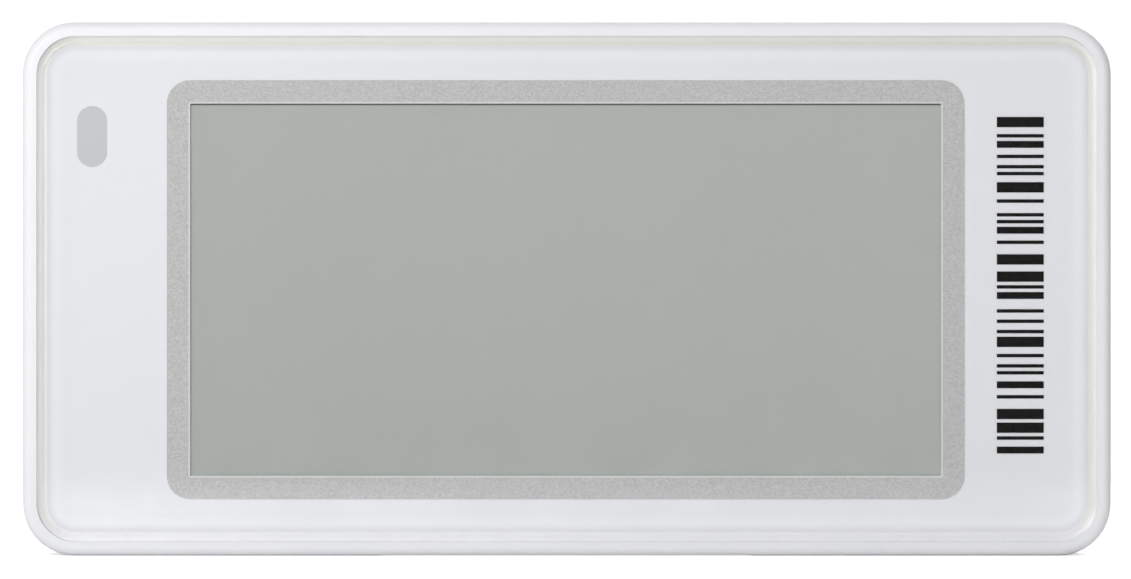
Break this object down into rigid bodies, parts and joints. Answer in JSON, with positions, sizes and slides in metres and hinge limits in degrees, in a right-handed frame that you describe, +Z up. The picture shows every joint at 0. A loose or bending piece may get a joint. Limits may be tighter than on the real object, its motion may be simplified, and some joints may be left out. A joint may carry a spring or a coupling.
{
  "type": "electronic shelf label",
  "caption": "White electronic shelf label with an e-paper display, a status light window, a code bar strip and a hinged battery door.",
  "frame": {"origin": "middle of the underside, at the centre of the footprint", "axes": "+X to the right seen from the front, +Y from the display towards the back, +Z up; it stands on its lower edge with the display facing -Y"},
  "size_m": [0.071, 0.0112, 0.0348],
  "materials": {
    "housing_white": "fine satin moulding texture, cool white",
    "lens_clear": "clear, smooth, bevelled edge",
    "ink_grey": "grey print with a fine sparkle",
    "ink_black": "black print",
    "ink_tint": "translucent grey print",
    "ink_white": "opaque white print",
    "tape_clear": "milky adhesive film, slightly yellow",
    "light_guide": "milky translucent plastic",
    "cover_film": "clear matt film",
    "epaper_grey": "matt microcapsule surface, neutral grey",
    "panel_glass": "thin glass with a fine transistor grid",
    "chip_black": "black moulded package",
    "tape_black": "black adhesive film",
    "flex_amber": "amber polyimide film",
    "foam_grey": "closed-cell foam",
    "board_green": "green solder mask over copper tracks",
    "connector_cream": "cream moulded plastic",
    "contact_gold": "gold plated",
    "latch_dark": "dark brown moulded plastic",
    "crystal_steel": "plain metal lid",
    "ferrite_dark": "matt ferrite",
    "ceramic_tan": "fired ceramic with tinned ends",
    "lamp_white": "white lamp package",
    "copper_track": "bare copper",
    "spring_nickel": "nickel-plated spring strip",
    "cell_steel": "nickel-plated steel, fine turned lines",
    "cell_seal": "black moulded seal",
    "cell_core": "pressed electrode pack, hidden"
  },
  "bodies": {
    "root": {"front_case": "housing_white", "front_lens": "lens_clear", "grey_border": "ink_grey", "code_bars": "ink_black", "light_tint": "ink_tint", "print_mask": "ink_white", "lens_tape": "tape_clear", "light_pipe": "light_guide", "display_cover_sheet": "cover_film", "display_film": "epaper_grey", "display_glass": "panel_glass", "driver_chip": "chip_black", "panel_tape": "tape_black", "display_flex": "flex_amber", "display_pad": "foam_grey", "main_board": "board_green", "flex_connector": "connector_cream", "connector_contacts": "contact_gold", "radio_chip": "chip_black", "memory_chip": "chip_black", "radio_crystal": "crystal_steel", "clock_crystal": "crystal_steel", "boost_inductor": "ferrite_dark", "rectifier_diodes": "chip_black", "capacitors": "ceramic_tan", "resistors": "chip_black", "status_light": "lamp_white", "antenna": "copper_track", "test_pads": "contact_gold", "negative_contact_left": "spring_nickel", "negative_contact_right": "spring_nickel", "positive_contact": "spring_nickel", "cell_can_left": "cell_steel", "cell_can_right": "cell_steel", "cell_seal_left": "cell_seal", "cell_seal_right": "cell_seal", "cell_cap_left": "cell_steel", "cell_cap_right": "cell_steel", "cell_core_left": "cell_core", "cell_core_right": "cell_core", "rear_shell": "housing_white"},
    "battery_door": {"battery_door": "housing_white"},
    "connector_latch": {"connector_latch": "latch_dark"}
  },
  "joints": [
    {"name": "battery_door_hinge", "type": "hinge", "parent": "root", "child": "battery_door", "pos_m": [0, 0.0048, 0.0316], "axis": [1, 0, 0], "range_deg": [0, 70]},
    {"name": "connector_latch_flip", "type": "hinge", "parent": "root", "child": "connector_latch", "pos_m": [0.0279, -0.0015, 0.01735], "axis": [0, 0, 1], "range_deg": [0, 90]}
  ]
}
